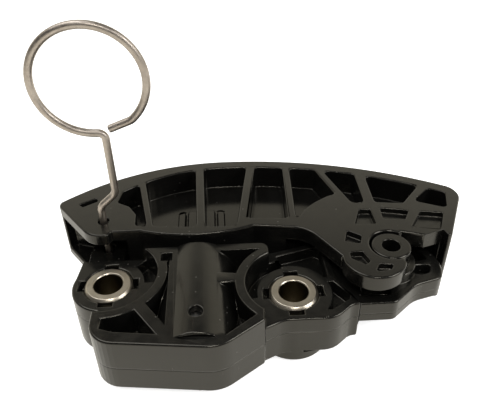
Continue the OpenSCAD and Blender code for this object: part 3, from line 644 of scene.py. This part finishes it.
@dataclass
class EdgeRounding:
    """Rounds a solid's sharp edges, its outer rims wider than the rest.

    Attributes:
        rim: Width of the rounding on outer rims.
        plain: Its width on all other edges.
        hairline: Area of a face that is too small to be rounded.
        level_cos: Least Z of a level face's normal.
        wall_cos: Largest Z of a wall's normal.
        lift: Step off the surface before looking along it.
        open_air: Free way in front of a wall whose edge is an outer rim.
        growth: Widening of the places to be narrowed from try to try, in rims.
        least: Share of the rim's width below which an edge is left sharp.
        spacing: Distance of the points that stand for an edge.
        thrown: Farthest that a vertex may lie from the edges, in rims.
        slack: Farthest that a face may leave the solid.
    """

    rim: float = 0.5 * MM
    plain: float = 0.32 * MM
    sharp_deg: float = 32.0
    segments: int = 3
    hairline: float = 0.012 * MM * MM
    level_cos: float = 0.98
    wall_cos: float = 0.2
    lift: float = 0.05 * MM
    open_air: float = 9.0 * MM
    tries: int = 14
    growth: float = 0.5
    least: float = 0.25
    spacing: float = 0.15 * MM
    thrown: float = 1.6
    slack: float = 0.4 * MM

    def mesh(self, name: str, solid: BMesh) -> Mesh:
        """Rounds a solid, and leaves edges sharp where the rounding would tear.

        Args:
            name: Name of the new mesh.
            solid: The bmesh to round, which is freed.

        Returns:
            The rounded mesh.
        """
        solid.normal_update()
        weight = solid.edges.layers.float.new("bevel_weight_edge")
        edges = [
            edge
            for edge in sharp_edges(solid, self.sharp_deg)
            if min(face.calc_area() for face in edge.link_faces) > self.hairline
        ]
        skin = BVHTree.FromBMesh(solid)
        near = self._edge_points(solid, edges)
        for edge in edges:
            edge[weight] = 1.0 if self._is_rim(edge, skin) else self.plain / self.rim
        holder = self._bevelled_holder()
        for attempt in range(self.tries):
            solid.to_mesh(holder.data)
            holder.data.update()
            graph = bpy.context.evaluated_depsgraph_get()
            rounded = bpy.data.meshes.new_from_object(holder.evaluated_get(graph))
            torn = self._torn_corners(rounded, near) or self._refill(rounded, skin)
            if not torn:
                break
            reach = self.rim * (1 + attempt * self.growth)
            for edge in edges:
                if edge[weight] and any(self._gap(edge, spot) < reach for spot in torn):
                    edge[weight] = edge[weight] / 2 if edge[weight] > self.least else 0.0
        spared = sum(not edge[weight] for edge in edges)
        log.info("%s: %d of %d edges left sharp", name, spared, len(edges))
        bpy.data.objects.remove(holder)
        solid.free()
        rounded.name = name
        return rounded

    def _bevelled_holder(self) -> Object:
        """Makes an empty object whose Bevel modifier rounds each edge by its weight."""
        holder = bpy.data.objects.new("rounding", bpy.data.meshes.new("rounding"))
        bpy.context.scene.collection.objects.link(holder)
        bevel = holder.modifiers.new("edges", "BEVEL")
        bevel.limit_method = "WEIGHT"
        bevel.offset_type = "OFFSET"
        bevel.width = self.rim
        bevel.segments = self.segments
        bevel.use_clamp_overlap = False
        bevel.loop_slide = False
        return holder

    def _is_rim(self, edge: BMEdge, skin: BVHTree) -> bool:
        """Tells whether an edge is an outer rim: a level face meets a wall that looks into open air."""
        level, wall = sorted(edge.link_faces, key=lambda face: -abs(face.normal.z))
        is_level, is_wall = abs(level.normal.z) >= self.level_cos, abs(wall.normal.z) <= self.wall_cos
        if not (edge.is_convex and is_level and is_wall):
            return False
        start = (edge.verts[0].co + edge.verts[1].co) / 2 + wall.normal * self.lift
        start -= level.normal * self.lift
        return skin.ray_cast(start, wall.normal, self.open_air)[0] is None

    def _edge_points(self, solid: BMesh, edges: Sequence[BMEdge]) -> KDTree:
        """Makes the solid's corners and points along its sharp edges ready to be searched."""
        points = [vert.co.copy() for vert in solid.verts]
        for edge in edges:
            first, last = (vert.co for vert in edge.verts)
            parts = math.ceil(edge.calc_length() / self.spacing)
            points += [first.lerp(last, step / parts) for step in range(1, parts)]
        near = KDTree(len(points))
        for number, point in enumerate(points):
            near.insert(point, number)
        near.balance()
        return near

    def _torn_corners(self, rounded: Mesh, near: KDTree) -> list[Vector]:
        """Finds where the rounding flew off: the places that vertices far from any edge hang on."""
        limit = self.thrown * self.rim
        far = {vert.index for vert in rounded.vertices if near.find(vert.co)[2] > limit}
        pairs = [tuple(edge.vertices) for edge in rounded.edges]
        held = {b if a in far else a for a, b in pairs if (a in far) != (b in far)}
        return [rounded.vertices[number].co.copy() for number in held]

    def _loose(self, rounded: Mesh, skin: BVHTree) -> list[MeshLoopTriangle]:
        """Finds triangles that leave the solid's surface, as where a face's outline folds over."""
        rounded.calc_loop_triangles()
        found = []
        for triangle in rounded.loop_triangles:
            middle = sum((rounded.vertices[number].co for number in triangle.vertices), Vector()) / 3
            if skin.find_nearest(middle)[3] > self.slack:
                found.append(triangle)
        return found

    def _refill(self, rounded: Mesh, skin: BVHTree) -> list[Vector]:
        """Fills the faces anew that left the surface, and finds places where that is no better."""
        shape = bmesh.new()
        shape.from_mesh(rounded)
        shape.faces.ensure_lookup_table()
        numbers = sorted({triangle.polygon_index for triangle in self._loose(rounded, skin)})
        for face in [shape.faces[number] for number in numbers]:
            sides, normal = list(face.edges), face.normal.copy()
            shape.faces.remove(face)
            bmesh.ops.triangle_fill(shape, edges=sides, normal=normal, use_beauty=True)
        spots = [vert.co.copy() for edge in shape.edges if not edge.is_manifold for vert in edge.verts]
        shape.to_mesh(rounded)
        shape.free()
        for triangle in self._loose(rounded, skin):
            spots += [rounded.vertices[number].co.copy() for number in triangle.vertices]
        return spots

    @staticmethod
    def _gap(edge: BMEdge, spot: Vector) -> float:
        """Measures how far a place is from an edge."""
        first, last = (vert.co for vert in edge.verts)
        share = intersect_point_line(spot, first, last)[1]
        return (first.lerp(last, min(max(share, 0.0), 1.0)) - spot).length


@dataclass
class Moulding:
    """One black moulding: the solid's own shape with rounded edges.

    Attributes:
        weld: Distance of corners that are one.
        flat_deg: Largest angle between facets that are merged.
        cylinder_cuts: Where along Y the cylinder's long facets are cut across.
        cylinder_r: Outside radius of the cylinder.
        cylinder_slack: Most that a facet's middle lies off that radius.
        cylinder_cos: Least likeness of a facet's normal to the radius.
    """

    node: str
    body: Body
    slot: Slot
    finish: MouldedNylon
    weld: float = 0.002 * MM
    flat_deg: float = 0.6
    cylinder_cuts: tuple[float, ...] = ()
    cylinder_r: float = 9.0 * MM
    cylinder_slack: float = 0.2 * MM
    cylinder_cos: float = 0.99

    def build(self, effects: Effects) -> None:
        """Copies the solid, merges its facets, rounds its edges and dresses it."""
        solid = frame["nodes"][self.node].data
        shape = bmesh.new()
        shape.from_mesh(solid)
        bmesh.ops.remove_doubles(shape, verts=shape.verts, dist=self.weld)
        bmesh.ops.dissolve_degenerate(shape, edges=shape.edges, dist=self.weld)
        bmesh.ops.dissolve_limit(
            shape, verts=shape.verts, edges=shape.edges, angle_limit=math.radians(self.flat_deg)
        )
        for place in self.cylinder_cuts:
            self._cut_cylinder(shape, place)
        rounded = EdgeRounding().mesh(f"{self.node}_moulding", shape)
        piece = new_piece(rounded, self.finish.make(effects))
        TrueNormals(solid).carry_over(rounded)
        hand_over(piece, self.body, self.slot, self.node)

    def _cut_cylinder(self, shape: BMesh, place: float) -> None:
        """Cuts the cylinder's long facets at a Y, so that a hole bends the highlight only beside it."""
        axis, across = middle_of("cylinder_sleeve"), Vector((1.0, 0.0, 1.0))
        parts: list[BMVert | BMEdge | BMFace] = []
        for face in shape.faces:
            outward = (face.calc_center_median() - axis) * across
            on_cylinder = abs(outward.length - self.cylinder_r) < self.cylinder_slack
            if on_cylinder and outward.normalized().dot(face.normal) > self.cylinder_cos:
                parts += [face, *face.edges, *face.verts]
        bmesh.ops.bisect_plane(
            shape, geom=list(dict.fromkeys(parts)), plane_co=(0.0, place, 0.0), plane_no=(0.0, 1.0, 0.0)
        )


@dataclass
class Bush:
    """Turned steel bush with chamfered ends, around its finish's axis and bore."""

    node: str
    finish: TurnedSteel
    outer_r: float = 5.6 * MM
    length: float = 14.9 * MM
    chamfer: float = 0.6 * MM
    bore_chamfer: float = 0.3 * MM
    edge_radius: float = 0.08 * MM
    sharp_deg: float = 25.0
    weld: float = 0.001 * MM
    steps: int = 96

    def build(self, effects: Effects) -> None:
        """Spins the bush's profile around its axis and rounds its edges."""
        bore_r = self.finish.bore
        profile = [
            (bore_r, 0.0),
            (self.outer_r - self.chamfer, 0.0),
            (self.outer_r, self.chamfer),
            (self.outer_r, self.length - self.chamfer),
            (self.outer_r - self.chamfer, self.length),
            (bore_r + self.bore_chamfer, self.length),
            (bore_r, self.length - self.bore_chamfer),
        ]
        middle = Vector((self.finish.axis[0], self.finish.axis[1], 0.0))
        shape = bmesh.new()
        points = [shape.verts.new(middle + Vector((r, 0.0, z))) for r, z in profile]
        loop = [shape.edges.new(pair) for pair in zip(points, points[1:] + points[:1])]
        whole = {"axis": (0.0, 0.0, 1.0), "angle": math.tau, "steps": self.steps, "use_merge": True}
        bmesh.ops.spin(shape, geom=points + loop, cent=middle, **whole)
        bmesh.ops.remove_doubles(shape, verts=shape.verts, dist=self.weld)
        bmesh.ops.recalc_face_normals(shape, faces=shape.faces)
        round_edges(shape, sharp_edges(shape, self.sharp_deg), self.edge_radius)
        piece = new_piece(mesh_of(f"{self.node}_turned", shape), self.finish.make(effects))
        follow_large_faces(piece)
        hand_over(piece, Body.HOUSING, Slot.BUSH, self.node)


@dataclass
class WirePin:
    """Lock pin: one wire, extruded along its straights and spun around its bends."""

    finish: DrawnSteel
    x: float = -44.8 * MM
    y: float = 21.6 * MM
    tip_z: float = 8.8 * MM
    wire_r: float = 0.9 * MM
    jog_z: float = 25.2 * MM
    jog: float = 4.2 * MM
    slant_deg: float = 48.0
    bend_r: float = 3.0 * MM
    ring_r: float = 12.2 * MM
    ring_z: float = 57.6 * MM
    ring_bend_r: float = 1.6 * MM
    ring_turn_deg: float = 317.0
    stub_bend_r: float = 3.0 * MM
    stub_turn_deg: float = 22.0
    stub_len: float = 5.0 * MM
    end_radius: float = 0.2 * MM
    end_sharp_deg: float = 60.0
    sides: int = 20
    step_deg: float = 5.0
    least_steps: int = 4
    shape: BMesh = field(init=False)
    heading: Vector = field(init=False)
    place: Vector = field(init=False)
    front: list[BMEdge] = field(init=False)

    def build(self, effects: Effects) -> None:
        """Draws the wire from its tip to its stub and dresses it."""
        self.shape = bmesh.new()
        self.heading = Vector((0.0, 0.0, 1.0))
        self.place = Vector((self.x, self.y, self.tip_z))
        start = Matrix.Translation(self.place)
        made = bmesh.ops.create_circle(self.shape, segments=self.sides, radius=self.wire_r, matrix=start)
        self.front = list(dict.fromkeys(edge for vert in made["verts"] for edge in vert.link_edges))
        first = list(self.front)
        slant = math.radians(self.slant_deg)
        rise = self.bend_r * math.tan(slant / 2)
        run = self.jog / math.sin(slant) - 2 * rise
        self._straight(self.jog_z - rise - self.tip_z)
        self._turn(self.bend_r, self.slant_deg)
        self._straight(run)
        self._turn(self.bend_r, -self.slant_deg)
        self._straight(self.ring_z - self.ring_r - self.ring_bend_r - self.place.z)
        self._turn(self.ring_bend_r, -90.0)
        self._turn(self.ring_r, self.ring_turn_deg)
        self._turn(self.stub_bend_r, self.stub_turn_deg)
        self._straight(self.stub_len)
        for ends in (first, self.front):
            bmesh.ops.edgeloop_fill(self.shape, edges=ends)
        bmesh.ops.recalc_face_normals(self.shape, faces=self.shape.faces)
        round_edges(self.shape, sharp_edges(self.shape, self.end_sharp_deg), self.end_radius)
        piece = new_piece(mesh_of("lock_pin_wire", self.shape), self.finish.make(effects))
        follow_large_faces(piece)
        hand_over(piece, Body.PIN, Slot.WIRE, "lock_pin")

    def _straight(self, length: float) -> None:
        """Extrudes the wire's end straight on by a length."""
        made = bmesh.ops.extrude_edge_only(self.shape, edges=self.front)["geom"]
        verts = [part for part in made if isinstance(part, BMVert)]
        edges = [part for part in made if isinstance(part, BMEdge)]
        bmesh.ops.translate(self.shape, verts=verts, vec=self.heading * length)
        self.front = [edge for edge in edges if set(edge.verts) <= set(verts)]
        self.place = self.place + self.heading * length

    def _turn(self, radius: float, degrees: float) -> None:
        """Spins the wire's end around a bend.

        Args:
            radius: Radius of the bend at the wire's middle.
            degrees: Turn about +Y, which is to the right seen from the front.
        """
        angle = math.radians(degrees)
        side = Vector((self.heading.z, 0.0, -self.heading.x)) * math.copysign(1.0, degrees)
        middle = self.place + side * radius
        verts = list(dict.fromkeys(vert for edge in self.front for vert in edge.verts))
        made = bmesh.ops.spin(
            self.shape,
            geom=verts + self.front,
            cent=middle,
            axis=(0.0, 1.0, 0.0),
            angle=angle,
            steps=max(self.least_steps, round(abs(degrees) / self.step_deg)),
        )["geom_last"]
        self.front = [part for part in made if isinstance(part, BMEdge)]
        turn = Matrix.Rotation(angle, 3, "Y")
        self.place = middle + turn @ (self.place - middle)
        self.heading = turn @ self.heading


class InnerPieces:
    """Steel and plastic pieces inside the cylinder, which keep their solids."""

    def build(self, effects: Effects) -> None:
        """Gives each solid its finish."""
        middle = middle_of("cylinder_sleeve")
        axis = ((middle.x, 0.0, middle.z), (-math.pi / 2, 0.0, 0.0))
        plunger = TurnedSteel("plunger_steel", (0.58, 0.57, 0.55), (0.66, 0.65, 0.63), (0.2, 0.3), *axis)
        sleeve = TurnedSteel("sleeve_steel", (0.13, 0.125, 0.12), (0.18, 0.175, 0.17), (0.34, 0.45), *axis)
        ball = TurnedSteel(
            "ball_bearing_steel", (0.68, 0.68, 0.67), (0.74, 0.74, 0.73), (0.08, 0.14), *axis
        )
        pressed = DrawnSteel("pressed_steel", (0.46, 0.45, 0.43), (0.54, 0.53, 0.51), (0.3, 0.42))
        spring = DrawnSteel("spring_wire", (0.34, 0.33, 0.31), (0.42, 0.41, 0.39), (0.28, 0.4))
        vent = PlainMoulding("vent_plastic", (0.62, 0.57, 0.45), (0.68, 0.63, 0.52), (0.45, 0.58))
        dress = {
            plunger: ("plunger",),
            sleeve: ("cylinder_sleeve", "valve_seat"),
            ball: ("check_ball",),
            pressed: ("ball_cage",),
            spring: ("ball_spring", "plunger_spring"),
            vent: ("vent_disc",),
        }
        for finish, solids in dress.items():
            material = finish.make(effects)
            for node in solids:
                slots = frame["nodes"][node].data.materials
                slots.clear()
                slots.append(material)
                log.info("%s: solid dressed as %s", node, finish.name)


@dataclass(frozen=True)
class SoftBox:
    """One soft lamp."""

    name: str
    place: Place
    size: Span
    power: float
    colour: Colour = (1.0, 1.0, 1.0)

    def hang(self, target: Vector) -> None:
        """Makes the lamp and points it at a target."""
        lamp = bpy.data.lights.new(self.name, "AREA")
        lamp.shape = "RECTANGLE"
        lamp.size, lamp.size_y = self.size
        lamp.energy = self.power
        lamp.color = self.colour
        holder = bpy.data.objects.new(self.name, lamp)
        holder.location = self.place
        holder.rotation_mode = "QUATERNION"
        holder.rotation_quaternion = (target - Vector(self.place)).to_track_quat("-Z", "Y")
        bpy.context.scene.collection.objects.link(holder)
        log.info("%s: %.1f W", self.name, self.power)


@dataclass
class Studio:
    """Pale floor, soft lamps, world and the camera at the photograph's view."""

    target: Place = (-10 * MM, 14 * MM, 10 * MM)
    camera_place: Place = (-14.9 * MM, -93.1 * MM, 107.8 * MM)
    heading_deg: float = 2.0
    pitch_deg: float = 36.41
    roll_deg: float = 1.46
    lens: float = 43.3
    sensor: float = 36.0
    clip: Span = (0.005, 20.0)
    floor_size: float = 3.0
    floor_drop: float = 0.2 * MM
    floor_matt: Colour = (0.8, 0.8, 0.8)
    floor_seen: Colour = (0.8, 0.8, 0.8)
    floor_mirrored: Colour = (0.54, 0.51, 0.42)
    surround: Colour = (0.12, 0.12, 0.12)
    backdrop: Colour = (0.86, 0.82, 0.70)
    backdrop_top: Span = (0.76, 0.56)
    backdrop_front: Span = (0.05, 0.45)
    seen: Colour = (1.0, 1.0, 1.0)
    lamps: tuple[SoftBox, ...] = (
        SoftBox("key_softbox", (-0.30, 0.10, 0.70), (0.5, 0.5), 2.6),
        SoftBox("front_softbox", (0.05, -0.50, 0.75), (0.26, 0.12), 2.0, (1.0, 0.98, 0.94)),
        SoftBox("side_softbox", (0.40, -0.15, 0.34), (0.25, 0.25), 1.4),
    )

    def build(self) -> None:
        """Sets up everything around the object."""
        bpy.context.scene.view_settings.view_transform = "Standard"
        self._floor()
        self._world()
        self._camera()
        for lamp in self.lamps:
            lamp.hang(Vector(self.target))

    def _floor(self) -> None:
        """Makes a white floor that keeps the object's soft shadow."""
        shape = bmesh.new()
        lowest = Matrix.Translation((0.0, 0.0, CAD_BOX[0].z - self.floor_drop))
        bmesh.ops.create_grid(shape, x_segments=1, y_segments=1, size=self.floor_size, matrix=lowest)
        floor = bpy.data.objects.new("floor", mesh_of("floor", shape))
        bpy.context.scene.collection.objects.link(floor)
        material = bpy.data.materials.new("white_floor")
        material.use_nodes = True
        nodes = NodeTree(material.node_tree)
        material.node_tree.nodes.clear()
        path = nodes.add("ShaderNodeLightPath").outputs
        seen = nodes.math("MAXIMUM", path["Is Camera Ray"], path["Is Glossy Ray"])
        seen = nodes.math("MAXIMUM", seen, path["Is Transmission Ray"])
        matt = nodes.add("ShaderNodeBsdfDiffuse", {"Color": (*self.floor_matt, 1.0)})
        tone = nodes.blend(path["Is Camera Ray"], self.floor_mirrored, self.floor_seen)
        glow = nodes.add("ShaderNodeEmission", {"Color": tone, "Strength": seen})
        both = nodes.add("ShaderNodeAddShader", {0: matt.outputs[0], 1: glow.outputs[0]})
        nodes.add("ShaderNodeOutputMaterial", {"Surface": both.outputs[0]})
        floor.data.materials.append(material)

    def _world(self) -> None:
        """Makes a dim surround with a pale backdrop low behind the object, white where it is seen."""
        world = bpy.data.worlds.new("studio")
        bpy.context.scene.world = world
        world.use_nodes = True
        nodes = NodeTree(world.node_tree)
        world.node_tree.nodes.clear()
        path = nodes.add("ShaderNodeLightPath").outputs
        place = nodes.add("ShaderNodeTexCoord").outputs["Generated"]
        direction = nodes.add("ShaderNodeSeparateXYZ", {0: place}).outputs
        low = nodes.ramp(direction["Z"], *self.backdrop_top)
        behind = nodes.ramp(direction["Y"], *self.backdrop_front)
        around = nodes.blend(nodes.math("MULTIPLY", low, behind), self.surround, self.backdrop)
        colour = nodes.blend(path["Is Camera Ray"], around, self.seen)
        sky = nodes.add("ShaderNodeBackground", {"Color": colour, "Strength": 1.0})
        nodes.add("ShaderNodeOutputWorld", {"Surface": sky.outputs[0]})

    def _camera(self) -> None:
        """Makes the camera at the photograph's place and view."""
        heading, pitch, roll = (math.radians(a) for a in (self.heading_deg, self.pitch_deg, self.roll_deg))
        right = Vector((math.cos(heading), -math.sin(heading), 0.0))
        level = Vector((math.sin(heading), math.cos(heading), 0.0))
        ahead = level * math.cos(pitch) - Vector((0.0, 0.0, math.sin(pitch)))
        up = right.cross(ahead)
        across = right * math.cos(roll) - up * math.sin(roll)
        above = right * math.sin(roll) + up * math.cos(roll)
        turned = Matrix((across, above, -ahead)).transposed().to_4x4()
        data = bpy.data.cameras.new("camera")
        data.lens = self.lens
        data.sensor_width = self.sensor
        data.clip_start, data.clip_end = self.clip
        camera = bpy.data.objects.new("camera", data)
        camera.matrix_world = Matrix.Translation(self.camera_place) @ turned
        bpy.context.scene.collection.objects.link(camera)
        bpy.context.scene.camera = camera


def main() -> None:
    """Builds the studio and every piece in order."""
    logging.basicConfig(level=logging.INFO, format="%(name)s: %(message)s")
    Studio().build()
    effects = Effects()
    shared = {"rubbed": (0.05, 0.048, 0.043), "parting_level": middle_of("cylinder_sleeve").z}
    body_nylon = MouldedNylon(
        "body_nylon",
        colour=(0.0042, 0.0041, 0.0037),
        second=(0.0062, 0.0061, 0.0055),
        roughness=(0.17, 0.25),
        smooth_below=12.6 * MM,
        **shared,
    )
    arm_nylon = MouldedNylon(
        "arm_nylon",
        colour=(0.0042, 0.0041, 0.0038),
        second=(0.0062, 0.0061, 0.0057),
        roughness=(0.18, 0.26),
        smooth_below=16.2 * MM,
        **shared,
    )
    beside_hole = (-11.0 * MM, -6.8 * MM)
    Moulding("housing", Body.HOUSING, Slot.BODY_NYLON, body_nylon, cylinder_cuts=beside_hole).build(effects)
    Moulding("tensioner_arm", Body.ARM, Slot.ARM_NYLON, arm_nylon).build(effects)
    bush_tones = ((0.44, 0.395, 0.32), (0.48, 0.435, 0.36), (0.29, 0.33))
    for side in ("right", "left"):
        bolt = MOUNTS[f"bolt_{side}"]
        axis, bore_r = tuple(bolt["pos_m"]), bolt["dims"]["r_mm"] * MM
        steel = TurnedSteel(f"bush_{side}_steel", *bush_tones, axis, bore=bore_r)
        Bush(f"bush_{side}", steel).build(effects)
    WirePin(DrawnSteel("wire_steel", (0.37, 0.325, 0.28), (0.45, 0.40, 0.35), (0.34, 0.46))).build(effects)
    InnerPieces().build(effects)


if __name__ == "__main__":
    main()
